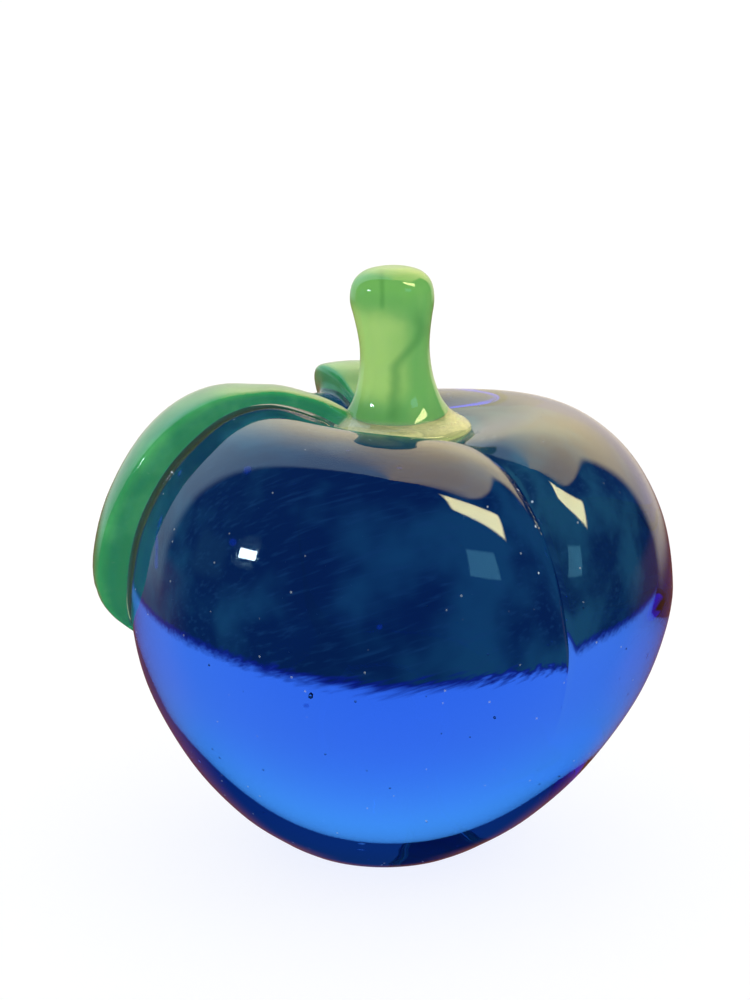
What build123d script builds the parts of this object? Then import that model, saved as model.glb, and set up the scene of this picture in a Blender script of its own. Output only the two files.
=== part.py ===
from build123d import *

import os
from math import cos, degrees, pi, radians, sin

# A solid art glass apple that stands on the flat ground into its base.
# Millimetres, +Z up. The origin is the centre of that flat.
# +X is to the right and -Y towards the viewer of the front.

# Body, one solid gather of blue glass
body_width = 90.4
crest_height = 74.5
# The axis drifts right from the base up to the widest level
axis_offset = 2.94
# The front left of the top stands a little higher than the rest
crest_lift = 1.5
crest_lift_azimuth = 205
# The back of the rim is slumped
back_dip_depth = 2.5
back_dip_azimuth = 105
# One sharp crease is pressed down the front right, and winds a little as it falls
crease_depth = 4.6
crease_azimuth = -54
crease_spread_angle = 68
crease_twist_angle = -3

# Half outline from the edge of the flat base up over the crest into the dimple.
# Shares of: the body's radius, the crest height, the crease depth, the crest lift
outline_shares = [
    (0.353, 0.000, 0.00, 0.00),
    (0.444, 0.033, 0.00, 0.00),
    (0.599, 0.105, 0.00, 0.00),
    (0.772, 0.224, 0.00, 0.00),
    (0.923, 0.382, 0.00, 0.00),
    (0.993, 0.526, 0.20, 0.00),
    (1.000, 0.645, 0.52, 0.00),
    (0.955, 0.776, 0.82, 0.10),
    (0.844, 0.895, 1.00, 0.40),
    (0.683, 0.974, 1.00, 0.80),
    (0.501, 1.000, 0.88, 1.00),
    (0.334, 0.976, 0.60, 0.95),
    (0.200, 0.941, 0.25, 0.45),
    (0.111, 0.928, 0.00, 0.00),
]
widest_share = 0.6

# Stem, a green core in a clear skin that spreads into a foot in the dimple.
# Heights are from the dimple's floor, and the stem drifts left as it rises.
stem_height = 29.3
stem_neck_width = 11.5
stem_head_width = 13.8
stem_drift = 1.65
foot_width = 23.0
# The core's rounded foot, and how high above the dimple's floor it starts
core_foot_width = 14.2
core_foot_height = 3.4
# Clear glass over the green, thicker on the top of the stem
skin = 0.6
stem_top_skin = 1.6

# Where the core follows the stem's outside, a skin inside, as shares of the stem's height
core_follow_shares = (0.255, 0.880)
# The core's foot. Shares of: its height above the floor, its width
core_foot_shares = [(1.00, 0.80), (1.08, 0.94), (1.25, 1.00), (1.50, 0.99)]
# The core's rounded top. Shares of: the way up to its end, its last width
core_top_shares = [(0.60, 0.86), (0.93, 0.60), (1.00, 0.34)]

# Leaves, green cores in clear skins, laid hot over the crest
side_leaf_azimuth = 185
side_leaf_sweep_angle = -7
side_leaf_width = 20.0
side_leaf_thickness = 6.5
back_leaf_azimuth = 122
back_leaf_sweep_angle = -27
back_leaf_width = 13.0
back_leaf_thickness = 6.2
# Where the leaves start and end, as shares of the way along the rows of the body's outline
leaf_root_share = 0.9923
side_leaf_tip_share = 0.3631
back_leaf_tip_share = 0.4923
# How far the leaves' undersides stand off the body
leaf_seat_gap = 0.1

# Shares of: the leaf's run, half its width, its thickness, and its wall at the edge
leaf_shares = [
    (0.000, 0.20, 0.34, 0.24),
    (0.060, 0.22, 0.42, 0.29),
    (0.120, 0.25, 0.50, 0.34),
    (0.170, 0.29, 0.54, 0.38),
    (0.230, 0.32, 0.52, 0.42),
    (0.300, 0.36, 0.48, 0.42),
    (0.380, 0.46, 0.48, 0.42),
    (0.450, 0.64, 0.68, 0.56),
    (0.530, 0.88, 0.84, 0.72),
    (0.600, 0.97, 0.90, 0.78),
    (0.685, 1.00, 0.94, 0.81),
    (0.770, 0.97, 0.99, 0.84),
    (0.845, 0.92, 1.00, 0.84),
    (0.905, 0.78, 0.86, 0.68),
    (0.950, 0.57, 0.58, 0.42),
    (0.982, 0.35, 0.28, 0.18),
    (1.000, 0.20, 0.10, 0.05),
]
# Half a leaf's section from its foot over to its crown. Shares of: half its width,
# the way from the underside up to the wall, the way from the wall up to the crown
section_shares = [
    (0.90, 0.00, 0.00),
    (0.94, 0.45, 0.00),
    (0.99, 0.80, 0.00),
    (0.92, 1.00, 0.24),
    (0.55, 1.00, 0.80),
    (0.00, 1.00, 1.00),
]
# Across a leaf's underside, as shares of its foot
underside_shares = [1, 0.6, 0.2, -0.2, -0.6, -1]
# The part of the run that the green core takes
core_run_shares = (0.22, 0.96)

# Lines round the body where it is drawn, as shares of the half turn from the crease
turn_shares = [0, 0.017, 0.04, 0.072, 0.122, 0.19, 0.28, 0.38, 0.5, 0.62, 0.74, 0.84, 0.92, 0.97, 1]

# Clear outside of the stem. Shares of: its height, the foot's width, the neck's
# width, the head's width, its drift. The three widths add up to the ring's own.
stem_shares = [
    (-0.080, 0.92, 0.00, 0.00, 0.00),
    (0.000, 0.94, 0.00, 0.00, 0.00),
    (0.050, 0.98, 0.00, 0.00, 0.00),
    (0.092, 1.00, 0.00, 0.00, 0.00),
    (0.117, 0.96, 0.00, 0.00, 0.05),
    (0.145, 0.85, 0.00, 0.00, 0.15),
    (0.185, 0.74, 0.00, 0.00, 0.30),
    (0.255, 0.00, 1.26, 0.00, 0.45),
    (0.355, 0.00, 1.10, 0.00, 0.58),
    (0.450, 0.00, 1.02, 0.00, 0.66),
    (0.540, 0.00, 1.00, 0.00, 0.74),
    (0.630, 0.00, 1.04, 0.00, 0.83),
    (0.720, 0.00, 0.00, 0.93, 0.92),
    (0.805, 0.00, 0.00, 1.00, 1.00),
    (0.880, 0.00, 0.00, 0.98, 1.00),
    (0.935, 0.00, 0.00, 0.88, 0.97),
    (0.975, 0.00, 0.00, 0.68, 0.93),
    (0.995, 0.00, 0.00, 0.40, 0.90),
    (1.000, 0.00, 0.00, 0.20, 0.88),
]

body_radius = body_width / 2
dimple_floor = crest_height * outline_shares[-1][1]
row_step_share = 0.5
last_row = len(outline_shares) - 1


def along(table, place):
    """A smooth curve through the rows of a table, read at a place in rows."""
    row = min(max(int(place), 0), len(table) - 2)
    part = place - row
    values = []
    for column in range(len(table[0])):
        here = table[row][column]
        there = table[row + 1][column]
        before = table[max(row - 1, 0)][column]
        after = table[min(row + 2, len(table) - 1)][column]
        leaving = (there - before) / 2
        arriving = (after - here) / 2
        values.append(
            here * (2 * part**3 - 3 * part**2 + 1)
            + leaving * (part**3 - 2 * part**2 + part)
            + there * (3 * part**2 - 2 * part**3)
            + arriving * (part**3 - part**2)
        )
    return values


def crease_turn(height_share):
    """How far the crease has wound round the body at a height."""
    return crease_twist_angle * (0.5 - height_share)


def crease_share(azimuth, height_share):
    """One in the bottom of the crease, zero beyond its spread to either side."""
    offset = azimuth - crease_azimuth - crease_turn(height_share)
    offset = abs((offset + 180) % 360 - 180)
    rise = 1 - sin(min(offset / crease_spread_angle, 1) * pi / 2)
    return (rise**2 + rise**6) / 2


def plain_point(place, azimuth):
    """A point of the body before the crease is pressed in."""
    radius_share, height_share, _, lift_share = along(outline_shares, place)
    turn = cos(radians(azimuth - crest_lift_azimuth))
    back_turn = max(0, cos(radians(azimuth - back_dip_azimuth)))
    lift = lift_share * (crest_lift * ((1 + turn) / 2) ** 2 - back_dip_depth * back_turn**2)
    radius = body_radius * radius_share
    side = axis_offset * min(height_share / widest_share, 1)
    return Vector(
        side + radius * cos(radians(azimuth)),
        radius * sin(radians(azimuth)),
        crest_height * height_share + lift,
    )


def plain_normal(place, azimuth):
    """The outward direction of the uncreased body at a point."""
    step = 0.01
    up = plain_point(min(place + step, last_row), azimuth) - plain_point(place - step, azimuth)
    turn = plain_point(place, azimuth + step) - plain_point(place, azimuth - step)
    return turn.cross(up).normalized()


def body_point(place, azimuth, height=0):
    """A point over the body's surface, at a height along its normal."""
    normal = plain_normal(place, azimuth)
    _, height_share, depth_share, _ = along(outline_shares, place)
    sink = crease_depth * depth_share * crease_share(azimuth, height_share)
    return plain_point(place, azimuth) + normal * (height - sink)


def places(first, last):
    """Places in a table from one row to another, with the steps between them."""
    steps = round((last - first) / row_step_share)
    return [first + row_step_share * step for step in range(steps + 1)]


def length_shares(points):
    """Distances along a line of points, as shares of the whole."""
    lengths = [0]
    for first, second in zip(points, points[1:]):
        lengths.append(lengths[-1] + (Vector(second) - Vector(first)).length)
    return [length / lengths[-1] for length in lengths]


def meridian(azimuth):
    """One line from base to dimple, which follows the crease's twist."""
    points = []
    for place in places(0, last_row):
        height_share = along(outline_shares, place)[1]
        points.append(body_point(place, azimuth + crease_turn(height_share)))
    knots = length_shares([plain_point(place, 0) for place in places(0, last_row)])
    return Wire([Edge.make_spline(points, parameters=knots)])


def make_body():
    """Two lofted halves from the crease to the back, closed by the base and the dimple."""
    faces = []
    for half_turn in (180, -180):
        lines = [meridian(crease_azimuth + half_turn * share) for share in turn_shares]
        faces += Shell.make_loft(lines).faces()
    for level in (0, dimple_floor):
        ring = [edge for face in faces for edge in face.edges() if is_level(edge, level)]
        faces.append(Face(Wire(ring)))
    return Solid(Shell(faces))


def is_level(edge, level):
    spread = max(abs((edge @ share).Z - level) for share in (0, 0.5, 1))
    return spread < body_width / 1e4


def stem_ring(place):
    """Height, radius and sideways place of the stem, at a place in its table."""
    height_share, foot_share, neck_share, head_share, drift_share = along(stem_shares, place)
    width = foot_share * foot_width + neck_share * stem_neck_width + head_share * stem_head_width
    return height_share * stem_height, width / 2, axis_offset - drift_share * stem_drift


def round_blank(rings):
    """A solid straight from circle to circle, given as heights, radii and sideways places."""
    circles = []
    for height, radius, side in rings:
        circles.append(Wire.make_circle(radius, Plane(Vector(side, 0, dimple_floor + height))))
    return Solid.make_loft(circles, ruled=True)


def stem_blank():
    """The clear outside of the stem, from below the foot up to its rounded head."""
    return round_blank([stem_ring(place) for place in places(0, len(stem_shares) - 1)])


def make_stem_core():
    """Green opaline rod with a rounded foot, flared at both ends."""
    first, last = core_follow_shares
    followed = []
    for place in places(0, len(stem_shares) - 1):
        if first <= along(stem_shares, place)[0] <= last:
            followed.append(place)
    side = stem_ring(followed[0])[2]
    rings = []
    for height_share, width_share in core_foot_shares:
        rings.append((height_share * core_foot_height, width_share * core_foot_width / 2, side))
    for place in followed:
        height, radius, side = stem_ring(place)
        rings.append((height, radius - skin, side))
    height, radius, side = rings[-1]
    rise = stem_height - stem_top_skin - height
    for rise_share, width_share in core_top_shares:
        rings.append((height + rise_share * rise, width_share * radius, side))
    return round_blank(rings)


def section_points(half_width, low, wall, crown):
    """Half a leaf's upper section: sideways places and heights from foot to crown."""
    points = []
    for side_share, wall_share, crown_share in section_shares:
        height = low + wall_share * (wall - low) + crown_share * (crown - wall)
        points.append((side_share * half_width, height))
    return points


def mirrored(section):
    """A half section and its mirror image, from foot over crown to foot."""
    return section + [(-side, height) for side, height in section[-2::-1]]


def leaf_ring(place, azimuth, section, knots, is_end):
    """One section of a leaf, wrapped over the body across its outline."""
    radius = body_radius * along(outline_shares, place)[0]
    middle = plain_point(place, azimuth)
    across = Vector(-sin(radians(azimuth)), cos(radians(azimuth)), 0)
    run = across.cross(plain_normal(place, azimuth)).normalized()
    foot, low = section[0]
    underside = [(-foot * share, low) for share in underside_shares]
    edges = []
    for outline, parameters in ((mirrored(section), knots), (underside, None)):
        points = []
        for side, height in outline:
            turned = azimuth + degrees(side / radius)
            point = plain_point(place, turned) + plain_normal(place, turned) * height
            if is_end:
                point -= run * (point - middle).dot(run)
            points.append(point)
        edges.append(Edge.make_spline(points, parameters=parameters))
    return Wire(edges)


def leaf_solid(azimuth, sweep, width, thickness, tip_share, inset, low, run):
    """A leaf blank, or its core where inset is the skin that stays round it."""
    knots = length_shares(mirrored(section_points(width / 2, low, thickness / 2, thickness)))
    rows = [row for row in leaf_shares if run[0] <= row[0] <= run[1]]
    rings = []
    for row in rows:
        run_share, width_share, crown_share, wall_share = row
        place = last_row * (leaf_root_share + (tip_share - leaf_root_share) * run_share)
        crown = crown_share * thickness - inset
        wall = min(wall_share * thickness, crown)
        section = section_points(width_share * width / 2 - inset, low, wall, crown)
        turned = azimuth + sweep * run_share
        rings.append(leaf_ring(place, turned, section, knots, row in (rows[0], rows[-1])))
    return Solid.make_loft(rings)


def make_leaf(size, stem):
    """The green core of a leaf and its clear casing, both trimmed to the stem."""
    core = leaf_solid(*size, skin, skin, core_run_shares) - stem
    blank = leaf_solid(*size, 0, leaf_seat_gap, (0, 1))
    return core, blank - stem - core


def make_nodes():
    """Every piece, by the name that it is written under."""
    body = make_body()
    stem = stem_blank()
    stem_core = make_stem_core()
    side_leaf = (
        side_leaf_azimuth,
        side_leaf_sweep_angle,
        side_leaf_width,
        side_leaf_thickness,
        side_leaf_tip_share,
    )
    back_leaf = (
        back_leaf_azimuth,
        back_leaf_sweep_angle,
        back_leaf_width,
        back_leaf_thickness,
        back_leaf_tip_share,
    )
    side_leaf_core, side_leaf_casing = make_leaf(side_leaf, stem)
    back_leaf_core, back_leaf_casing = make_leaf(back_leaf, stem)
    return {
        "apple_body": body,
        "stem_core": stem_core,
        "stem_casing": stem - body - stem_core,
        "side_leaf_core": side_leaf_core,
        "side_leaf_casing": side_leaf_casing,
        "back_leaf_core": back_leaf_core,
        "back_leaf_casing": back_leaf_casing,
    }


if __name__ == "__main__":
    os.makedirs("parts", exist_ok=True)
    for name, shape in make_nodes().items():
        print(name, shape.is_valid, len(shape.solids()), round(shape.volume, 1))
        export_step(shape, "parts/" + name + ".step")
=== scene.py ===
"""A solid art glass apple in blue, with a green stem and two green leaves cased in clear glass."""

import random
from math import atan2, cos, pi, radians, sin

import bmesh
import bpy
from bpy.props import FloatProperty, FloatVectorProperty, IntProperty, PointerProperty
from mathutils import Matrix, Vector


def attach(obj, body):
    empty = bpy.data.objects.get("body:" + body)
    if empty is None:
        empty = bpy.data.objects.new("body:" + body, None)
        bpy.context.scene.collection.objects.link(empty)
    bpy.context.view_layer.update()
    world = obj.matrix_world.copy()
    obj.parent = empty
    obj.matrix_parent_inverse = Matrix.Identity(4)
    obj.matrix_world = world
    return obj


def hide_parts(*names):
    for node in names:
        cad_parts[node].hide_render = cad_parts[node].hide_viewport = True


bl_info = {
    "name": "Art glass apple",
    "version": (1, 0, 0),
    "blender": (4, 5, 0),
    "location": "View3D > Sidebar > Glass apple",
    "description": "Gathers, creases and finishes a solid glass apple with a stem and leaves",
    "category": "Object",
}

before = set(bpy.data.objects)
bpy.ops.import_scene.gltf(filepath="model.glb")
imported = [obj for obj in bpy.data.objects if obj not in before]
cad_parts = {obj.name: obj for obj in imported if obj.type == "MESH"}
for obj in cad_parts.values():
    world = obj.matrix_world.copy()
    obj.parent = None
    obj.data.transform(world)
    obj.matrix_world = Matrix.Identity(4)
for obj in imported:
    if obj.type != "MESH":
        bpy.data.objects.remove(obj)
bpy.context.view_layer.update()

mm = 0.001

# Half outline of the body from the edge of its flat over the crest into the dimple.
# Shares of: the body's radius, the crest height, the crease depth, the crest lift
outline_shares = [
    (0.353, 0.000, 0.00, 0.00),
    (0.444, 0.033, 0.00, 0.00),
    (0.599, 0.105, 0.00, 0.00),
    (0.772, 0.224, 0.00, 0.00),
    (0.923, 0.382, 0.00, 0.00),
    (0.993, 0.526, 0.20, 0.00),
    (1.000, 0.645, 0.52, 0.00),
    (0.955, 0.776, 0.82, 0.10),
    (0.844, 0.895, 1.00, 0.40),
    (0.683, 0.974, 1.00, 0.80),
    (0.501, 1.000, 0.88, 1.00),
    (0.334, 0.976, 0.60, 0.95),
    (0.200, 0.941, 0.25, 0.45),
    (0.111, 0.928, 0.00, 0.00),
]
outline_last = len(outline_shares) - 1
# The widest level, up to which the axis drifts, as a share of the crest height
widest_share = 0.6

# Outside of the stem. Shares of: its height, the foot's width, the neck's width,
# the head's width, its drift. The three widths add up to the ring's own.
stem_shares = [
    (-0.080, 0.92, 0.00, 0.00, 0.00),
    (0.000, 0.94, 0.00, 0.00, 0.00),
    (0.050, 0.98, 0.00, 0.00, 0.00),
    (0.092, 1.00, 0.00, 0.00, 0.00),
    (0.117, 0.96, 0.00, 0.00, 0.05),
    (0.145, 0.85, 0.00, 0.00, 0.15),
    (0.185, 0.74, 0.00, 0.00, 0.30),
    (0.255, 0.00, 1.26, 0.00, 0.45),
    (0.355, 0.00, 1.10, 0.00, 0.58),
    (0.450, 0.00, 1.02, 0.00, 0.66),
    (0.540, 0.00, 1.00, 0.00, 0.74),
    (0.630, 0.00, 1.04, 0.00, 0.83),
    (0.720, 0.00, 0.00, 0.93, 0.92),
    (0.805, 0.00, 0.00, 1.00, 1.00),
    (0.880, 0.00, 0.00, 0.98, 1.00),
    (0.935, 0.00, 0.00, 0.88, 0.97),
    (0.975, 0.00, 0.00, 0.68, 0.93),
    (0.995, 0.00, 0.00, 0.40, 0.90),
    (1.000, 0.00, 0.00, 0.20, 0.88),
]
stem_last = len(stem_shares) - 1
# The stem's rows that its core follows, and the rounded ends of the core
core_first_row = 7
core_last_row = 14
core_foot_shares = [(1.00, 0.80), (1.08, 0.94), (1.25, 1.00), (1.50, 0.99)]
core_top_shares = [(0.60, 0.86), (0.93, 0.60), (1.00, 0.34)]

# Shares of: a leaf's run, half its width, its thickness, and its wall at the edge
leaf_shares = [
    (0.000, 0.20, 0.34, 0.24),
    (0.060, 0.22, 0.42, 0.29),
    (0.120, 0.25, 0.50, 0.34),
    (0.170, 0.29, 0.54, 0.38),
    (0.230, 0.32, 0.52, 0.42),
    (0.300, 0.36, 0.48, 0.42),
    (0.380, 0.46, 0.48, 0.42),
    (0.450, 0.64, 0.68, 0.56),
    (0.530, 0.88, 0.84, 0.72),
    (0.600, 0.97, 0.90, 0.78),
    (0.685, 1.00, 0.94, 0.81),
    (0.770, 0.97, 0.99, 0.84),
    (0.845, 0.92, 1.00, 0.84),
    (0.905, 0.78, 0.86, 0.68),
    (0.950, 0.57, 0.58, 0.42),
    (0.982, 0.35, 0.28, 0.18),
    (1.000, 0.20, 0.10, 0.05),
]
# Half a leaf's section from its foot over to its crown. Shares of: half its width,
# the way from the underside up to the wall, the way from the wall up to the crown
section_shares = [
    (0.90, 0.00, 0.00),
    (0.94, 0.45, 0.00),
    (0.99, 0.80, 0.00),
    (0.92, 1.00, 0.24),
    (0.55, 1.00, 0.80),
    (0.00, 1.00, 1.00),
]
# A casing's foot flows out over the body, as shares like the section's
casing_foot_shares = [(1.08, 0.00, 0.00), (1.01, 0.05, 0.00), (0.96, 0.20, 0.00), (0.95, 0.50, 0.00)]
# The part of the run that a leaf's green core takes
core_run_shares = (0.06, 0.982)
# The outline's row at which both leaves start
leaf_root_row = 12.9
# Rings and points that a smooth curve gets between two rows of a table
cuts_per_row = 4
# Equal parts of a leaf's flat underside
underside_parts = 5
# How the body's lines are spread: even round it at one, gathered at the crease below one
line_evenness = 0.22
# Faces that meet more sharply than this keep an edge, in degrees
body_edge_angle = 25
skin_edge_angle = 60

# Bubbles: between which rows of the outline, how deep and how large, in millimetres
bubble_rows = (2.5, 9.5)
bubble_depths = (1.0, 6.0)
bubble_radii = (0.08, 0.22)
# The number that starts the random draws of their places
bubble_draw = 7

# How far the fused casings are sunk into the body
stem_sunk = 0.2 * mm
leaf_sunk = 0.15 * mm
# Height over the dimple's floor under which the stem's casing is fitted to the body
fitted_height = 4 * mm

glass_ior = 1.5
fused_roughness = 0.35
bump_strength = 0.2
bump_distance = 0.1 * mm
clear_name = "Clear casing glass"
# How strongly the blue and the clear glass tint the light inside them, per metre
blue_density = 42
casing_density = 90
casing_tint = (0.88, 0.90, 0.45)
dust_colour = (0.5, 0.6, 0.65, 1)
milk_colour = (0.88, 0.80, 0.48, 1)
speck_colour = (0.004, 0.03, 0.02)

# Colour zones of the stem: heights over the flat and sideways places, their soft edges,
# and how far clouds push them about
# The lit zone is painted light: the rod is painted paler on its left side and middle, as if lit
# through, and stays deeper at its ends and right side
lit_zone_heights = (77 * mm, 92 * mm)
lit_zone_edge = 3 * mm
lit_zone_sides = (7 * mm, -1 * mm)
veil_heights = (74 * mm, 92 * mm)
veil_edge = 2 * mm
veil_swing_heights = (82 * mm, 88.5 * mm)
veil_swing_sides = (1.7 * mm, 5.6 * mm)
veil_reach = 1.7 * mm
shear_side = -0.3 * mm
shear_reach = 0.7 * mm
shear_heights = (92 * mm, 93.5 * mm)
veil_colour = (0.08, 0.32, 0.07)
zone_drift = 1.6 * mm

# The dusty strip of the crease: its offset and reach, and where it starts in depth and height
dusty_offset = 1.5 * mm
dusty_reach = (5 * mm, 1 * mm)
dusty_depths = (-8 * mm, -16 * mm)
dusty_heights = (40 * mm, 56 * mm)

# The milky foot of the stem: distances from its middle and heights over the dimple's floor
milky_distances = (12.5 * mm, 9.5 * mm)
milky_heights = (6 * mm, 2.5 * mm)
milk_everywhere = 0.03

# Lamps and windows that the glass mirrors. Their middle's azimuth and elevation, half their
# width and height, their slant and their soft edge, all in degrees, and their light
small_lamp = (-163.2, 21.3)
mirrored_lamps = (
    ((-17.0, 52.0), (17.0, 8.0), -54.0, 1.5, (16.5, 15.3, 7.4)),
    (small_lamp, (4.4, 1.8), 12.0, 0.4, (36.0, 46.0, 52.0)),
    ((-41.0, 28.5), (9.5, 6.5), -17.0, 0.8, (0.5, 1.6, 2.1)),
    ((178.0, 12.0), (9.0, 8.0), 10.0, 3.0, (0.05, 0.22, 0.28)),
)
glint_light = (6.0, 11.0, 13.0)

# The rest of what it mirrors: darkness, wood below, and walls from cool to warm. Light that is
# brighter than a white sheet goes over one
dark_room = (0.01, 0.015, 0.02)
dark_below = (0.004, 0.012, 0.05)
wood_below = (0.20, 0.07, 0.045)
cool_wall = (0.95, 1.4, 1.6)
warm_wall = (3.0, 2.45, 1.15)
cool_wall_foot = (0.5, 0.65, 0.7)
warm_wall_foot = (1.1, 0.95, 0.72)

# What the body bends into view: a dull floor with blades, a lit wall and the line between them
floor_shade = (0.05, 0.10, 0.09)
floor_light = (0.17, 0.33, 0.16)
floor_blades = (0.22, 0.30, 0.17)
lit_wall_low = (1.05, 1.05, 1.05)
lit_wall_high = (1.0, 1.6, 1.25)
seen_in_front = (0.3, 0.42, 0.24)
wall_line = (0.10, 0.08, 0.24)

floor_radius = 6
camera_target = Vector((-1.51 * mm, 0, 59.1 * mm))
sensor_width = 36


def length(name, description, default):
    """A size in metres that a user can change."""
    return FloatProperty(name=name, description=description, default=default, unit="LENGTH")


def turn(name, description, default):
    """An angle that a user can change, given here in degrees."""
    return FloatProperty(name=name, description=description, default=radians(default), subtype="ANGLE")


def colour(name, description, default):
    """A colour that a user can change, given as linear red, green and blue."""
    return FloatVectorProperty(
        name=name, description=description, default=default, subtype="COLOR", min=0, max=1
    )


class BodySizes(bpy.types.PropertyGroup):
    """The gather of blue glass."""

    width: length("Width", "Across the widest level", 90.4 * mm)
    crest_height: length("Crest height", "From the flat up to the rim", 74.5 * mm)
    axis_offset: length("Axis offset", "How far the axis drifts right", 2.94 * mm)
    crest_lift: length("Crest lift", "Extra height of the front left", 1.5 * mm)
    crest_lift_azimuth: turn("Crest lift azimuth", "Where the rim stands highest", 205)
    back_dip: length("Back dip", "How far the back of the rim is slumped", 2.5 * mm)
    back_dip_azimuth: turn("Back dip azimuth", "Where the rim is lowest", 105)
    crease_depth: length("Crease depth", "How deep the crease is pressed", 4.6 * mm)
    crease_azimuth: turn("Crease azimuth", "Where the crease runs down", -54)
    crease_spread: turn("Crease spread", "How far the crease reaches to a side", 68)
    crease_twist: turn("Crease twist", "How far the crease winds as it falls", -3)
    fold_depth: length("Fold depth", "The fine fold in the bottom of the crease", 0.45 * mm)
    fold_width: turn("Fold width", "How far the fine fold reaches to a side", 1.6)


class StemSizes(bpy.types.PropertyGroup):
    """The stem's clear outside and its green core."""

    height: length("Height", "From the dimple's floor to the top", 29.3 * mm)
    neck_width: length("Neck width", "Across the narrowest ring", 11.5 * mm)
    head_width: length("Head width", "Across the rounded head", 13.8 * mm)
    drift: length("Drift", "How far the stem moves left as it rises", 1.65 * mm)
    foot_width: length("Foot width", "Across the clear foot", 23.0 * mm)
    core_foot_width: length("Core foot width", "Across the core's foot", 14.2 * mm)
    core_foot_height: length("Core foot height", "From the dimple's floor to the core", 3.4 * mm)
    skin: length("Skin", "Clear glass over the green", 0.6 * mm)
    top_skin: length("Top skin", "Clear glass over the core's top", 1.6 * mm)


class LeafSizes(bpy.types.PropertyGroup):
    """One leaf laid over the crest."""

    azimuth: turn("Azimuth", "Where the leaf leaves the stem", 0)
    sweep: turn("Sweep", "How far it turns round the body along its run", 0)
    width: length("Width", "Across its widest part", 20.0 * mm)
    thickness: length("Thickness", "Highest over the body", 6.5 * mm)
    tip_row: FloatProperty(name="Tip row", description="Row of the outline at the tip", default=5)


class GlassColours(bpy.types.PropertyGroup):
    """The colours of the blue glass and the two green ones."""

    blue: colour("Blue", "Tint of the light inside the body", (0.012, 0.45, 0.955))
    stem_light: colour("Stem light", "Opaline at its palest", (0.46, 0.74, 0.20))
    stem_deep: colour("Stem deep", "Opaline in its veils", (0.11, 0.42, 0.10))
    leaf_light: colour("Leaf light", "Leaf glass at its palest", (0.06, 0.40, 0.14))
    leaf_deep: colour("Leaf deep", "Leaf glass at its deepest", (0.012, 0.28, 0.10))


class GlassApple(bpy.types.PropertyGroup):
    """All sizes and colours of the apple."""

    body: PointerProperty(type=BodySizes)
    stem: PointerProperty(type=StemSizes)
    side_leaf: PointerProperty(type=LeafSizes)
    back_leaf: PointerProperty(type=LeafSizes)
    colours: PointerProperty(type=GlassColours)
    seeds: IntProperty(name="Seeds", description="Tiny bubbles in the blue glass", default=90, min=0)


def apple():
    """The sizes and colours that this scene holds."""
    return bpy.context.scene.glass_apple


def along(table, place):
    """A smooth curve through the rows of a table, read at a place in rows."""
    row = min(max(int(place), 0), len(table) - 2)
    part = place - row
    values = []
    for column in range(len(table[0])):
        here = table[row][column]
        there = table[row + 1][column]
        before = table[max(row - 1, 0)][column]
        after = table[min(row + 2, len(table) - 1)][column]
        leaving = (there - before) / 2
        arriving = (after - here) / 2
        values.append(
            here * (2 * part**3 - 3 * part**2 + 1)
            + leaving * (part**3 - 2 * part**2 + part)
            + there * (3 * part**2 - 2 * part**3)
            + arriving * (part**3 - part**2)
        )
    return values


def crease_turn(height_share):
    """How far the crease has wound round the body at a height."""
    return apple().body.crease_twist * (0.5 - height_share)


def crease_sink(azimuth, height_share):
    """How deep the crease is pressed, with the fine fold in its bottom."""
    body = apple().body
    offset = azimuth - body.crease_azimuth - crease_turn(height_share)
    offset = abs((offset + pi) % (2 * pi) - pi)
    rise = 1 - sin(min(offset / body.crease_spread, 1) * pi / 2)
    fold = max(0, 1 - offset / body.fold_width) ** 2
    return body.crease_depth * (rise**2 + rise**6) / 2 + body.fold_depth * fold


def plain_point(place, azimuth):
    """A point of the body before the crease is pressed in."""
    body = apple().body
    radius_share, height_share, _, lift_share = along(outline_shares, place)
    rise = body.crest_lift * ((1 + cos(azimuth - body.crest_lift_azimuth)) / 2) ** 2
    dip = body.back_dip * max(0, cos(azimuth - body.back_dip_azimuth)) ** 2
    lift = lift_share * (rise - dip)
    radius = body.width / 2 * radius_share
    side = body.axis_offset * min(height_share / widest_share, 1)
    height = body.crest_height * height_share + lift
    return Vector((side + radius * cos(azimuth), radius * sin(azimuth), height))


def plain_normal(place, azimuth):
    """The outward direction of the uncreased body at a point."""
    step = 0.01
    up = plain_point(min(place + step, outline_last), azimuth) - plain_point(place - step, azimuth)
    across = plain_point(place, azimuth + step) - plain_point(place, azimuth - step)
    return across.cross(up).normalized()


def body_point(place, azimuth):
    """A point of the creased body."""
    _, height_share, depth_share, _ = along(outline_shares, place)
    sink = depth_share * crease_sink(azimuth, height_share)
    return plain_point(place, azimuth) - plain_normal(place, azimuth) * sink


def dimple_floor():
    """Height of the flat floor under the stem."""
    return apple().body.crest_height * outline_shares[-1][1]


def stem_ring(place):
    """Height, radius and sideways place of the stem, at a place in its table."""
    stem = apple().stem
    height_share, foot_share, neck_share, head_share, drift_share = along(stem_shares, place)
    width = foot_share * stem.foot_width + neck_share * stem.neck_width + head_share * stem.head_width
    side = apple().body.axis_offset - drift_share * stem.drift
    return height_share * stem.height, width / 2, side


def only(obj):
    """Selects one object alone and makes it the active one."""
    bpy.ops.object.select_all(action="DESELECT")
    obj.select_set(True)
    bpy.context.view_layer.objects.active = obj


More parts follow.
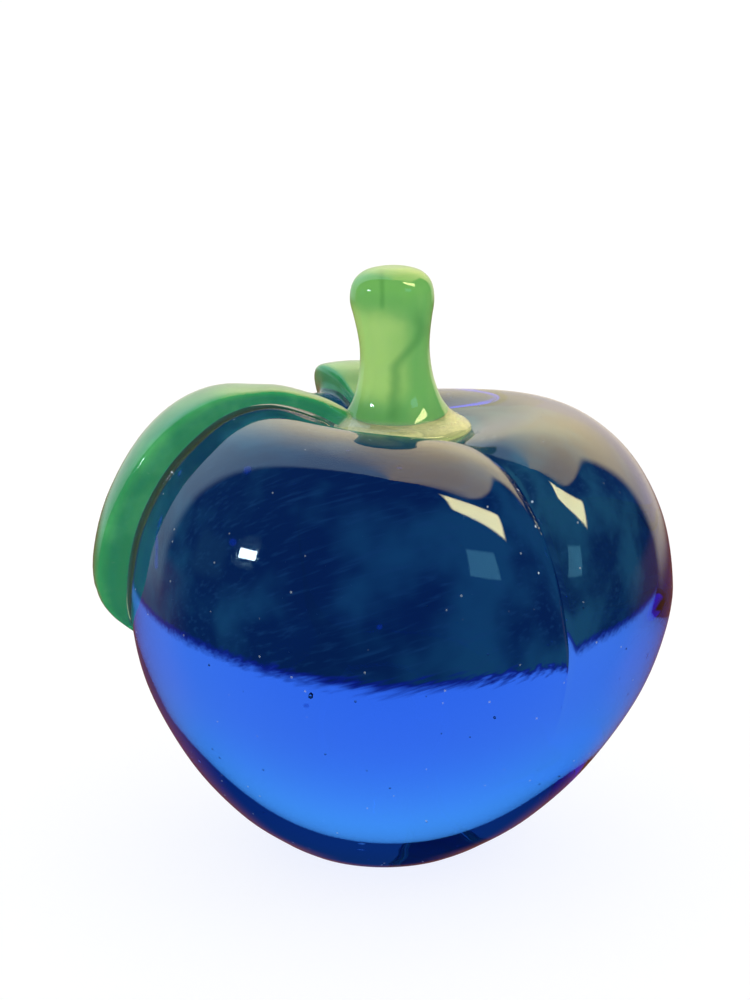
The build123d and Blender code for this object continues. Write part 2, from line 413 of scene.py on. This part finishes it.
def ring_tube(name, rings, sides, point):
    """A drum that is cut into rings and then shaped: point(ring, side) places each vertex.

    The two ends are closed by fans round the middle of their ring.
    """
    bpy.ops.mesh.primitive_cylinder_add(vertices=sides, radius=1, depth=2, end_fill_type="TRIFAN")
    obj = bpy.context.active_object
    obj.name = name
    obj.data.name = name
    only(obj)
    bpy.ops.object.mode_set(mode="EDIT")
    bpy.ops.mesh.select_mode(type="EDGE")
    bpy.ops.mesh.select_all(action="DESELECT")
    mesh = bmesh.from_edit_mesh(obj.data)
    for edge in mesh.edges:
        first, second = edge.verts
        edge.select_set(abs(first.co.z - second.co.z) > 1)
    bmesh.update_edit_mesh(obj.data)
    bpy.ops.mesh.subdivide_edgering(number_cuts=rings - 2, interpolation="LINEAR", smoothness=0)
    bpy.ops.object.mode_set(mode="OBJECT")
    for vertex in obj.data.vertices:
        ring = round((vertex.co.z + 1) / 2 * (rings - 1))
        if vertex.co.to_2d().length < 0.5:
            ends = [point(ring, side) for side in range(sides)]
            vertex.co = sum(ends, Vector()) / sides
        else:
            side = round(atan2(vertex.co.y, vertex.co.x) / (2 * pi) * sides) % sides
            vertex.co = point(ring, side)
    return obj


def finish_mesh(obj, angle):
    """Merges doubles, turns the faces outwards and shades smooth except at real edges."""
    only(obj)
    bpy.ops.object.mode_set(mode="EDIT")
    bpy.ops.mesh.select_all(action="SELECT")
    bpy.ops.mesh.remove_doubles(threshold=0.001 * mm)
    bpy.ops.mesh.normals_make_consistent(inside=False)
    bpy.ops.object.mode_set(mode="OBJECT")
    bpy.ops.object.shade_smooth_by_angle(angle=radians(angle))


def settle(obj, material, slot, *nodes):
    """Gives a piece its material and body, and hides the nodes of model.glb that it stands for. The
    slot is not used.
    """
    obj.data.materials.clear()
    obj.data.materials.append(material)
    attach(obj, "root")
    if nodes:
        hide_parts(*nodes)


# Materials


def new_material(name):
    """An empty node material with its output."""
    material = bpy.data.materials.new(name)
    material.use_nodes = True
    material.node_tree.nodes.clear()
    material.node_tree.nodes.new("ShaderNodeOutputMaterial")
    return material


def add_node(tree, kind, inputs=None, **settings):
    """A node with its settings, and its inputs given by name or number as values or sockets."""
    made = tree.nodes.new(kind)
    for key, value in settings.items():
        setattr(made, key, value)
    for key, value in (inputs or {}).items():
        if isinstance(value, bpy.types.NodeSocket):
            tree.links.new(value, made.inputs[key])
        else:
            made.inputs[key].default_value = value
    return made


def maths(tree, operation, *values):
    """The result of a math node."""
    return add_node(tree, "ShaderNodeMath", dict(enumerate(values)), operation=operation).outputs[0]


def smooth_step(tree, value, start, end, low=0.0, high=1.0):
    """A value that eases from low to high between two limits."""
    limits = {"Value": value, "From Min": start, "From Max": end, "To Min": low, "To Max": high}
    return add_node(tree, "ShaderNodeMapRange", limits, interpolation_type="SMOOTHSTEP").outputs[0]


def soft_range(tree, value, low, high, soft):
    """A mask that is one between two limits, with soft edges."""
    rising = smooth_step(tree, value, low - soft, low + soft)
    falling = smooth_step(tree, value, high + soft, high - soft)
    return maths(tree, "MULTIPLY", rising, falling)


def product(tree, first, *others):
    """The product of several masks."""
    for each in others:
        first = maths(tree, "MULTIPLY", first, each)
    return first


def off_line(tree, value, line):
    """How far a value is from a line."""
    return maths(tree, "ABSOLUTE", maths(tree, "SUBTRACT", value, line))


def split(tree, place):
    """The three coordinates of a place."""
    return add_node(tree, "ShaderNodeSeparateXYZ", {"Vector": place}).outputs


def noise(tree, place, scale, detail):
    """Soft clouds between zero and one."""
    inputs = {"Vector": place, "Scale": scale, "Detail": detail}
    return add_node(tree, "ShaderNodeTexNoise", inputs).outputs[0]


def scattered(tree, place, scale):
    """The distance to the nearest of many scattered points, and a random value of that point."""
    inputs = {"Vector": place, "Scale": scale}
    found = add_node(tree, "ShaderNodeTexVoronoi", inputs, feature="F1").outputs
    chance = add_node(tree, "ShaderNodeSeparateColor", {"Color": found["Color"]}).outputs[0]
    return found["Distance"], chance


def drawn_out(tree, place, turned, size):
    """A place in turned axes, where a pattern is as many times larger as size says."""
    inputs = {"Vector": place, "Rotation": turned, "Scale": size}
    return add_node(tree, "ShaderNodeMapping", inputs, vector_type="TEXTURE").outputs[0]


def mix_colour(tree, share, first, second):
    """A mix of two colours."""
    made = add_node(tree, "ShaderNodeMix", data_type="RGBA")
    # The node's sockets share names, so they are told apart by number
    sockets = {0: share, 6: first, 7: second}
    for number, value in sockets.items():
        if isinstance(value, bpy.types.NodeSocket):
            tree.links.new(value, made.inputs[number])
        elif number == 0:
            made.inputs[number].default_value = value
        else:
            made.inputs[number].default_value = (*value, 1)[:4]
    return made.outputs[2]


def mix_shader(tree, share, first, second):
    """A mix of two shaders."""
    return add_node(tree, "ShaderNodeMixShader", {0: share, 1: first, 2: second}).outputs[0]


def material_parts(name):
    """A new material with its tree, output and the object's own coordinates."""
    material = new_material(name)
    tree = material.node_tree
    output = tree.nodes["Material Output"]
    place = add_node(tree, "ShaderNodeTexCoord").outputs["Object"]
    return material, tree, output, place


def polish_group():
    """Waves left by the tools, hairline scratches and specks of dust on fire-polished glass."""
    name = "Fire polish"
    if name in bpy.data.node_groups:
        return bpy.data.node_groups[name]
    group = bpy.data.node_groups.new(name, "ShaderNodeTree")
    face = group.interface
    face.new_socket("Place", in_out="INPUT", socket_type="NodeSocketVector")
    for label, value in (
        ("Wave scale", 60.0),
        ("Wave height", 0.0),
        ("Scratch scale", 300.0),
        ("Scratch height", 0.05),
        ("Dust amount", 0.5),
    ):
        socket = face.new_socket(label, in_out="INPUT", socket_type="NodeSocketFloat")
        socket.default_value = value
    face.new_socket("Height", in_out="OUTPUT", socket_type="NodeSocketFloat")
    face.new_socket("Dust", in_out="OUTPUT", socket_type="NodeSocketFloat")
    given = group.nodes.new("NodeGroupInput").outputs
    result = group.nodes.new("NodeGroupOutput").inputs
    waves = noise(group, given["Place"], given["Wave scale"], 1.0)
    height = product(group, waves, given["Wave height"])
    combed = drawn_out(group, given["Place"], (0.5, 0.3, 0.9), (1, 16, 1))
    hairlines = smooth_step(group, noise(group, combed, given["Scratch scale"], 2.0), 0.71, 0.75)
    height = maths(group, "SUBTRACT", height, product(group, hairlines, given["Scratch height"]))
    distance, chance = scattered(group, given["Place"], 420.0)
    sparse = maths(group, "GREATER_THAN", chance, 0.6)
    dust = product(group, smooth_step(group, distance, 0.11, 0.05), sparse, given["Dust amount"])
    group.links.new(maths(group, "ADD", height, product(group, dust, 0.3)), result["Height"])
    group.links.new(dust, result["Dust"])
    return group


def polished_glass(tree, place, polish):
    """Clear glass with its polish, and the mask of the dust on it."""
    group = polish_group()
    surface = add_node(tree, "ShaderNodeGroup", {"Place": place, **polish}, node_tree=group).outputs
    bump = {"Height": surface["Height"], "Strength": bump_strength, "Distance": bump_distance}
    shader = add_node(tree, "ShaderNodeBsdfPrincipled", {
        "Base Color": (1, 1, 1, 1),
        "Roughness": surface["Dust"],
        "Normal": add_node(tree, "ShaderNodeBump", bump).outputs[0],
    })
    shader.inputs["Transmission Weight"].default_value = 1
    shader.inputs["IOR"].default_value = glass_ior
    return shader.outputs[0], surface["Dust"]


def let_light_through(tree, shader, colour_left):
    """Glass that doesn't keep daylight from what stands behind or inside it."""
    ray = add_node(tree, "ShaderNodeLightPath").outputs
    soft = maths(tree, "MAXIMUM", ray["Is Shadow Ray"], ray["Is Diffuse Ray"])
    clear = add_node(tree, "ShaderNodeBsdfTransparent", {"Color": colour_left}).outputs[0]
    return mix_shader(tree, soft, shader, clear)


def fill_with(tree, output, tint, density):
    """Tints the inside of a glass."""
    volume = add_node(tree, "ShaderNodeVolumeAbsorption")
    volume.inputs["Color"].default_value = (*tint, 1)
    volume.inputs["Density"].default_value = density
    tree.links.new(volume.outputs[0], output.inputs["Volume"])


def fused_glass(tree, output, base, weight, scale, radius):
    """Opaline under a clear skin, where no mirror is left between the two glasses."""
    shader = add_node(tree, "ShaderNodeBsdfPrincipled", {"Base Color": base})
    shader.inputs["Roughness"].default_value = fused_roughness
    shader.inputs["Specular IOR Level"].default_value = 0
    shader.inputs["Subsurface Weight"].default_value = weight
    shader.inputs["Subsurface Scale"].default_value = scale
    shader.inputs["Subsurface Radius"].default_value = radius
    tree.links.new(shader.outputs[0], output.inputs["Surface"])


def make_blue_glass():
    """Transparent cobalt blue, deepest where the light's path is longest."""
    material, tree, output, place = material_parts("Cobalt blue glass")
    x, y, z = split(tree, place)
    crease_azimuth = apple().body.crease_azimuth
    off_crease = maths(
        tree, "SUBTRACT", product(tree, y, cos(crease_azimuth)), product(tree, x, sin(crease_azimuth))
    )
    in_crease = product(
        tree,
        smooth_step(tree, off_line(tree, off_crease, dusty_offset), *dusty_reach),
        smooth_step(tree, y, *dusty_depths),
        smooth_step(tree, z, *dusty_heights),
    )
    shader, dust = polished_glass(tree, place, {
        "Scratch scale": 260.0,
        "Scratch height": 0.02,
        "Dust amount": smooth_step(tree, in_crease, 0.0, 1.0, 0.3, 2.5),
    })
    pale = add_node(tree, "ShaderNodeBsdfDiffuse", {"Color": dust_colour}).outputs[0]
    dusty = mix_shader(tree, dust, shader, pale)
    tree.links.new(let_light_through(tree, dusty, (0.96, 0.98, 1.0, 1)), output.inputs["Surface"])
    fill_with(tree, output, apple().colours.blue, blue_density)
    return material


def clear_glass():
    """The clear skin over the green, made when it is first asked for."""
    return bpy.data.materials.get(clear_name) or make_clear_glass()


def make_clear_glass():
    """Clear glass, milky in the stem's foot, where the gathers meet."""
    material, tree, output, place = material_parts(clear_name)
    shader, _ = polished_glass(tree, place, {
        "Wave scale": 220.0,
        "Wave height": 0.4,
        "Scratch scale": 700.0,
        "Scratch height": 0.03,
        "Dust amount": 0.2,
    })
    foot = (apple().body.axis_offset, 0, dimple_floor())
    from_foot = add_node(tree, "ShaderNodeVectorMath", {0: place, 1: foot}, operation="DISTANCE")
    above_foot = maths(tree, "SUBTRACT", split(tree, place)[2], dimple_floor())
    haze = product(
        tree,
        smooth_step(tree, from_foot.outputs["Value"], *milky_distances),
        smooth_step(tree, above_foot, *milky_heights),
        smooth_step(tree, noise(tree, place, 900.0, 2.0), 0.3, 0.7, 0.65, 0.9),
    )
    haze = maths(tree, "MAXIMUM", haze, milk_everywhere)
    milk = add_node(tree, "ShaderNodeBsdfDiffuse", {"Color": milk_colour}).outputs[0]
    milky = mix_shader(tree, haze, shader, milk)
    tree.links.new(let_light_through(tree, milky, (1, 1, 1, 1)), output.inputs["Surface"])
    fill_with(tree, output, casing_tint, casing_density)
    return material


def make_stem_glass():
    """Yellow green opaline, painted paler on its left side and middle as light shining through and so
    deeper at its ends, with a dark veil that swings up its front.
    """
    material, tree, output, place = material_parts("Green opaline")
    colours = apple().colours
    x, y, z = split(tree, place)
    drift = product(tree, maths(tree, "SUBTRACT", noise(tree, place, 260.0, 3.0), 0.5), zone_drift)
    side = maths(tree, "ADD", x, drift)
    height = maths(tree, "ADD", z, drift)
    clouds = noise(tree, drawn_out(tree, place, (0, 0, 0), (1, 1, 4)), 130.0, 2.0)
    # Painted light: the rod's left side and middle are painted paler, as if lit through; the clouds add
    # the opaline's own paler streaks
    pale = product(
        tree,
        smooth_step(tree, side, *lit_zone_sides),
        soft_range(tree, height, *lit_zone_heights, lit_zone_edge),
        smooth_step(tree, clouds, 0.35, 0.55, 0.8, 1.0),
    )
    pale = maths(tree, "MAXIMUM", pale, smooth_step(tree, clouds, 0.45, 0.75, 0.0, 0.5))
    pale = smooth_step(tree, pale, 0.0, 1.0, 0.12, 1.0)
    base = mix_colour(tree, pale, colours.stem_deep, colours.stem_light)
    swing = smooth_step(tree, height, *veil_swing_heights, *veil_swing_sides)
    veil = product(
        tree,
        smooth_step(tree, off_line(tree, side, swing), veil_reach, 0.0),
        soft_range(tree, height, *veil_heights, veil_edge),
    )
    shear = product(
        tree,
        smooth_step(tree, off_line(tree, x, shear_side), shear_reach, 0.0),
        smooth_step(tree, z, *shear_heights),
    )
    in_front = smooth_step(tree, y, 1 * mm, -1 * mm)
    dark = product(tree, maths(tree, "MAXIMUM", veil, shear), in_front, 0.6)
    base = mix_colour(tree, dark, base, veil_colour)
    fused_glass(tree, output, base, 0.35, 1.5 * mm, (0.8, 1.0, 0.4))
    return material


def make_leaf_glass():
    """Deep green leaf glass with paler clouds and a few dark specks."""
    material, tree, output, place = material_parts("Leaf green glass")
    colours = apple().colours
    clouds = smooth_step(tree, noise(tree, place, 110.0, 4.0), 0.42, 0.72)
    base = mix_colour(tree, clouds, colours.leaf_deep, colours.leaf_light)
    distance, chance = scattered(tree, place, 150.0)
    sparse = maths(tree, "GREATER_THAN", chance, 0.94)
    speck = product(tree, smooth_step(tree, distance, 0.2, 0.1), sparse, 0.8)
    base = mix_colour(tree, speck, base, speck_colour)
    fused_glass(tree, output, base, 0.5, 2 * mm, (0.4, 1.0, 0.5))
    return material


class OBJECT_OT_gather_body(bpy.types.Operator):
    """Shapes the blue gather, presses its crease and seeds it with tiny bubbles"""

    bl_idname = "object.gather_body"
    bl_label = "Gather the body"

    rings: IntProperty(name="Rings", description="Rings from flat to dimple", default=118)
    meridians: IntProperty(name="Meridians", description="Lines round the body", default=360)

    def execute(self, context):
        body = apple().body
        rows_per_ring = outline_last / (self.rings - 1)
        half = self.meridians / 2

        def point(ring, side):
            # Lines gather towards the crease, where the glass turns sharply
            share = (side / half + 1) % 2 - 1
            swing = pi * (line_evenness * share + (1 - line_evenness) * share * abs(share))
            place = ring * rows_per_ring
            height_share = along(outline_shares, place)[1]
            return body_point(place, body.crease_azimuth + swing + crease_turn(height_share))

        obj = ring_tube("apple_glass", self.rings, self.meridians, point)
        finish_mesh(obj, body_edge_angle)
        self.seed(obj)
        settle(obj, make_blue_glass(), "blue_glass", "apple_body")
        return {"FINISHED"}

    def seed(self, body):
        """Tiny bubbles inside the glass, as closed hollows of the same mesh."""
        bpy.ops.object.select_all(action="DESELECT")
        bpy.ops.mesh.primitive_ico_sphere_add(subdivisions=1, radius=1)
        bubble = bpy.context.active_object
        bpy.ops.object.shade_smooth()
        bpy.ops.object.mode_set(mode="EDIT")
        bpy.ops.mesh.flip_normals()
        bpy.ops.object.mode_set(mode="OBJECT")
        chance = random.Random(bubble_draw)
        bubbles = []
        for _ in range(apple().seeds):
            place = chance.uniform(*bubble_rows)
            azimuth = chance.uniform(-pi, pi)
            depth = chance.uniform(*bubble_depths) * mm
            centre = body_point(place, azimuth) - plain_normal(place, azimuth) * depth
            size = chance.uniform(*bubble_radii) * mm
            one = bubble.copy()
            one.data = bubble.data.copy()
            bpy.context.collection.objects.link(one)
            one.data.transform(Matrix.Translation(centre) @ Matrix.Scale(size, 4))
            bubbles.append(one)
        bpy.data.objects.remove(bubble)
        only(body)
        for one in bubbles:
            one.select_set(True)
        bpy.ops.object.join()


class OBJECT_OT_draw_stem(bpy.types.Operator):
    """Draws the stem's green core and its clear casing with the spread foot"""

    bl_idname = "object.draw_stem"
    bl_label = "Draw the stem"

    sides: IntProperty(name="Sides", description="Sides of the round stem", default=96)

    def execute(self, context):
        self.make_casing()
        self.make_core()
        return {"FINISHED"}

    def make_casing(self):
        """The clear outside, whose underside is sunk a little into the body."""
        rings = stem_last * cuts_per_row + 1
        floor = dimple_floor()

        def point(ring, side):
            height, radius, middle = stem_ring(ring / cuts_per_row)
            around = 2 * pi * side / self.sides
            return Vector((middle + radius * cos(around), radius * sin(around), floor + height))

        obj = ring_tube("stem_clear_casing", rings, self.sides, point)
        body = bpy.data.objects["apple_glass"]
        for vertex in obj.data.vertices:
            if vertex.co.z > floor + fitted_height:
                continue
            above = Vector((vertex.co.x, vertex.co.y, 2 * apple().body.width))
            hit, place, _, _ = body.ray_cast(above, Vector((0, 0, -1)))
            if hit and vertex.co.z < place.z - stem_sunk:
                vertex.co.z = place.z - stem_sunk
        finish_mesh(obj, skin_edge_angle)
        settle(obj, clear_glass(), "clear_glass", "stem_casing")

    def make_core(self):
        """The opaline rod inside, a skin smaller."""
        stem = apple().stem
        side = stem_ring(core_first_row)[2]
        rows = []
        for height_share, width_share in core_foot_shares:
            radius = width_share * stem.core_foot_width / 2
            rows.append((height_share * stem.core_foot_height, radius, side))
        for row in range(core_first_row, core_last_row + 1):
            height, radius, side = stem_ring(row)
            rows.append((height, radius - stem.skin, side))
        height, radius, side = rows[-1]
        rise = stem.height - stem.top_skin - height
        for rise_share, width_share in core_top_shares:
            rows.append((height + rise_share * rise, width_share * radius, side))
        rings = (len(rows) - 1) * cuts_per_row + 1
        floor = dimple_floor()

        def point(ring, number):
            height, radius, middle = along(rows, ring / cuts_per_row)
            around = 2 * pi * number / self.sides
            return Vector((middle + radius * cos(around), radius * sin(around), floor + height))

        obj = ring_tube("stem_green_core", rings, self.sides, point)
        finish_mesh(obj, skin_edge_angle)
        settle(obj, make_stem_glass(), "green_opaline", "stem_core")


def half_section(half_width, low, wall, crown, flows_out):
    """Half a leaf's upper section: sideways places and heights from foot to crown."""
    points = []
    rows = casing_foot_shares + section_shares[2:] if flows_out else section_shares
    for side_share, wall_share, crown_share in rows:
        height = low + wall_share * (wall - low) + crown_share * (crown - wall)
        points.append((side_share * half_width, height))
    return points


class OBJECT_OT_lay_leaves(bpy.types.Operator):
    """Lays the two leaves, green cores in clear skins, over the crest"""

    bl_idname = "object.lay_leaves"
    bl_label = "Lay the leaves"

    per_row: IntProperty(
        name="Rings per row", description="Rings for each row of the leaf's table", default=cuts_per_row
    )
    per_point: IntProperty(
        name="Points per row", description="Points for each row of the section", default=cuts_per_row
    )

    def execute(self, context):
        green = make_leaf_glass()
        skin = apple().stem.skin
        for name, leaf in (("side_leaf", apple().side_leaf), ("back_leaf", apple().back_leaf)):
            casing = self.make_blank(name + "_clear_casing", leaf, 0, -leaf_sunk, (0, 1))
            settle(casing, clear_glass(), "clear_glass", name + "_casing")
            core = self.make_blank(name + "_green_core", leaf, skin, skin, core_run_shares)
            settle(core, green, "leaf_green_glass", name + "_core")
        return {"FINISHED"}

    def make_blank(self, name, leaf, inset, low, run):
        """A leaf, or its core where inset is the skin that stays round it."""
        first = next(row for row, shares in enumerate(leaf_shares) if shares[0] >= run[0])
        last = max(row for row, shares in enumerate(leaf_shares) if shares[0] <= run[1])
        rings = (last - first) * self.per_row + 1
        flows_out = inset == 0
        rows = len(half_section(1, 0, 1, 1, flows_out))
        upper = (2 * rows - 2) * self.per_point
        under = underside_parts * self.per_point
        sides = upper + under

        def point(ring, side):
            row = first + ring / self.per_row
            run_share, width_share, crown_share, wall_share = along(leaf_shares, row)
            place = leaf_root_row + (leaf.tip_row - leaf_root_row) * run_share
            azimuth = leaf.azimuth + leaf.sweep * run_share
            crown = crown_share * leaf.thickness - inset
            wall = min(wall_share * leaf.thickness, crown)
            half = half_section(width_share * leaf.width / 2 - inset, low, wall, crown, flows_out)
            section = half + [(-across, height) for across, height in half[-2::-1]]
            if side <= upper:
                across, height = along(section, side / self.per_point)
            else:
                share = (side - upper) / under
                across, height = half[0][0] * (2 * share - 1), low
            radius = apple().body.width / 2 * along(outline_shares, place)[0]
            turned = azimuth + across / radius
            return plain_point(place, turned) + plain_normal(place, turned) * height

        obj = ring_tube(name, rings, sides, point)
        finish_mesh(obj, skin_edge_angle)
        return obj


def patch(tree, direction, middle, reach, slant, soft):
    """A mask for a slanted rectangle in a room, by its middle's azimuth and elevation."""
    swing = maths(tree, "WRAP", maths(tree, "SUBTRACT", direction[0], middle[0]), 180.0, -180.0)
    rise = maths(tree, "SUBTRACT", direction[1], middle[1])
    lean = sin(radians(slant))
    level = cos(radians(slant))
    along_it = maths(tree, "ADD", product(tree, swing, level), product(tree, rise, lean))
    across_it = maths(tree, "SUBTRACT", product(tree, rise, level), product(tree, swing, lean))
    return product(
        tree,
        soft_range(tree, along_it, -reach[0], reach[0], soft),
        soft_range(tree, across_it, -reach[1], reach[1], soft),
    )


class OBJECT_OT_set_stage(bpy.types.Operator):
    """Sets the pale floor, the studio's light and the camera"""

    bl_idname = "object.set_stage"
    bl_label = "Set the stage"

    distance: length("Distance", "From the camera to what it looks at", 450 * mm)
    elevation: turn("Elevation", "How far the camera looks down", 15)
    lens: FloatProperty(name="Lens", description="Focal length on a 36 mm sensor", default=97.2)

    def execute(self, context):
        self.make_floor()
        self.make_world()
        self.make_camera()
        context.scene.view_settings.view_transform = "Standard"
        return {"FINISHED"}

    def make_floor(self):
        """A wide pale floor that only the camera and soft light see."""
        bpy.ops.mesh.primitive_circle_add(vertices=64, radius=floor_radius, fill_type="NGON")
        floor = bpy.context.active_object
        floor.name = "floor"
        material, tree, output, _ = material_parts("Pale floor")
        inputs = {"Base Color": (0.2, 0.2, 0.2, 1), "Roughness": 0.9}
        shader = add_node(tree, "ShaderNodeBsdfPrincipled", inputs)
        shader.inputs["Emission Color"].default_value = (1, 1, 1, 1)
        shader.inputs["Emission Strength"].default_value = 0.8
        tree.links.new(shader.outputs[0], output.inputs["Surface"])
        floor.data.materials.append(material)
        floor.visible_glossy = False
        floor.visible_transmission = False

    def make_world(self):
        """A white studio for the camera, with the room that the glass mirrors and bends."""
        world = bpy.data.worlds.new("Studio")
        bpy.context.scene.world = world
        world.use_nodes = True
        tree = world.node_tree
        tree.nodes.clear()
        ray = add_node(tree, "ShaderNodeLightPath").outputs
        through_share = ray["Is Transmission Ray"]
        # Light that glass bends counts as glossy too, so only the rest is mirrored
        straight_share = maths(tree, "SUBTRACT", 1.0, through_share)
        mirror_share = product(tree, ray["Is Glossy Ray"], straight_share)
        way = add_node(tree, "ShaderNodeTexCoord").outputs["Generated"]
        x, y, z = split(tree, way)
        azimuth = maths(tree, "DEGREES", maths(tree, "ARCTAN2", y, x))
        elevation = maths(tree, "DEGREES", maths(tree, "ARCSINE", z))
        direction = (azimuth, elevation)
        through = self.room_behind(tree, way, direction, y)
        mirrored = self.room_around(tree, way, direction, y)
        seen = mix_colour(tree, through_share, (1.0, 1.0, 1.0), through)
        seen = mix_colour(tree, mirror_share, seen, mirrored)
        background = add_node(tree, "ShaderNodeBackground", {"Color": seen, "Strength": 1.0})
        output = add_node(tree, "ShaderNodeOutputWorld")
        tree.links.new(background.outputs[0], output.inputs["Surface"])

    def room_behind(self, tree, way, direction, depth):
        """What the glass bends into view: a white wall over a dull green floor."""
        azimuth, elevation = direction
        strands = noise(tree, drawn_out(tree, way, (0.0, 1.25, 0.0), (0.012, 0.012, 0.12)), 1.0, 4.0)
        bristles = product(
            tree,
            smooth_step(tree, azimuth, 50.0, 100.0, 1.8, 5.0),
            smooth_step(tree, azimuth, 110.0, 125.0, 1.0, 0.4),
        )
        ragged = product(tree, maths(tree, "SUBTRACT", strands, 0.5), bristles)
        edge = smooth_step(tree, azimuth, 92.0, 60.0, -1.4, -3.0)
        rise = maths(tree, "SUBTRACT", maths(tree, "ADD", elevation, ragged), edge)
        clouds = smooth_step(tree, noise(tree, way, 4.0, 3.0), 0.42, 0.66)
        floor = mix_colour(tree, clouds, floor_shade, floor_light)
        blades = smooth_step(tree, strands, 0.5, 0.75, 0.0, 0.5)
        floor = mix_colour(tree, blades, floor, floor_blades)
        upward = smooth_step(tree, elevation, 5.0, 34.0)
        wall = mix_colour(tree, upward, lit_wall_low, lit_wall_high)
        backward = smooth_step(tree, depth, -0.1, 0.25)
        wall = mix_colour(tree, backward, seen_in_front, wall)
        fringe = mix_colour(tree, smooth_step(tree, rise, -1.6, -0.4), floor, wall_line)
        return mix_colour(tree, smooth_step(tree, rise, -0.8, 1.6), fringe, wall)

    def room_around(self, tree, way, direction, depth):
        """What the glass mirrors: a dark room, warm walls behind, wood below, lamps and windows."""
        azimuth, elevation = direction
        wooden = product(
            tree,
            smooth_step(tree, elevation, -44.0, -28.0),
            smooth_step(tree, depth, 0.1, 0.5),
        )
        below = mix_colour(tree, wooden, dark_below, wood_below)
        room = mix_colour(tree, smooth_step(tree, elevation, -4.0, 2.0), below, dark_room)
        right_end = smooth_step(tree, elevation, 35.0, 65.0, 45.0, -10.0)
        past_right = maths(tree, "SUBTRACT", azimuth, right_end)
        wall = product(
            tree,
            smooth_step(tree, past_right, -3.0, 5.0),
            smooth_step(tree, azimuth, 154.0, 147.0),
            smooth_step(tree, depth, -0.12, 0.04),
            smooth_step(tree, elevation, -14.0, -6.0),
        )
        warmth = smooth_step(tree, azimuth, 130.0, 70.0)
        paint = mix_colour(tree, warmth, cool_wall, warm_wall)
        foot = mix_colour(tree, warmth, cool_wall_foot, warm_wall_foot)
        paint = mix_colour(tree, smooth_step(tree, elevation, -2.0, 32.0), foot, paint)
        room = mix_colour(tree, wall, room, paint)
        distance, _ = scattered(tree, way, 90.0)
        near_lamp = product(tree, patch(tree, direction, small_lamp, (2.0, 1.5), 0.0, 12.0), 3.2)
        glints = smooth_step(tree, maths(tree, "SUBTRACT", near_lamp, distance), 0.0, 0.12)
        room = mix_colour(tree, glints, room, glint_light)
        for middle, reach, slant, soft, light in mirrored_lamps:
            shape = patch(tree, direction, middle, reach, slant, soft)
            room = mix_colour(tree, shape, room, light)
        return room

    def make_camera(self):
        """The photograph's view from the front, a little above."""
        back = Vector((0, -cos(self.elevation), sin(self.elevation)))
        bpy.ops.object.camera_add(location=camera_target + back * self.distance)
        camera = bpy.context.active_object
        camera.rotation_euler = (-back).to_track_quat("-Z", "Y").to_euler()
        camera.data.lens = self.lens
        camera.data.sensor_width = sensor_width
        camera.data.clip_start = 0.01
        bpy.context.scene.camera = camera


class VIEW3D_PT_glass_apple(bpy.types.Panel):
    """Lists the apple's sizes and the steps that make it"""

    bl_label = "Glass apple"
    bl_category = "Glass apple"
    bl_space_type = "VIEW_3D"
    bl_region_type = "UI"

    def draw(self, context):
        for step in steps:
            self.layout.operator(step.bl_idname)
        for group in ("body", "stem", "side_leaf", "back_leaf", "colours"):
            box = self.layout.box()
            box.label(text=group.replace("_", " ").capitalize())
            settings = getattr(apple(), group)
            for name in settings.bl_rna.properties.keys():
                if name not in ("rna_type", "name"):
                    box.prop(settings, name)


steps = (OBJECT_OT_gather_body, OBJECT_OT_draw_stem, OBJECT_OT_lay_leaves, OBJECT_OT_set_stage)
classes = (
    BodySizes,
    StemSizes,
    LeafSizes,
    GlassColours,
    GlassApple,
    *steps,
    VIEW3D_PT_glass_apple,
)


def register():
    for each in classes:
        bpy.utils.register_class(each)
    bpy.types.Scene.glass_apple = PointerProperty(type=GlassApple)


def unregister():
    del bpy.types.Scene.glass_apple
    for each in reversed(classes):
        bpy.utils.unregister_class(each)


def set_leaves():
    """The two leaves differ in place, width and reach."""
    side_leaf = apple().side_leaf
    side_leaf.azimuth = radians(185)
    side_leaf.sweep = radians(-7)
    side_leaf.width = 20.0 * mm
    side_leaf.thickness = 6.5 * mm
    side_leaf.tip_row = 4.72
    back_leaf = apple().back_leaf
    back_leaf.azimuth = radians(122)
    back_leaf.sweep = radians(-27)
    back_leaf.width = 13.0 * mm
    back_leaf.thickness = 6.2 * mm
    back_leaf.tip_row = 6.4


def main():
    """Makes the whole apple."""
    register()
    set_leaves()
    bpy.ops.object.gather_body()
    bpy.ops.object.draw_stem()
    bpy.ops.object.lay_leaves()
    bpy.ops.object.set_stage()


if __name__ == "__main__":
    main()
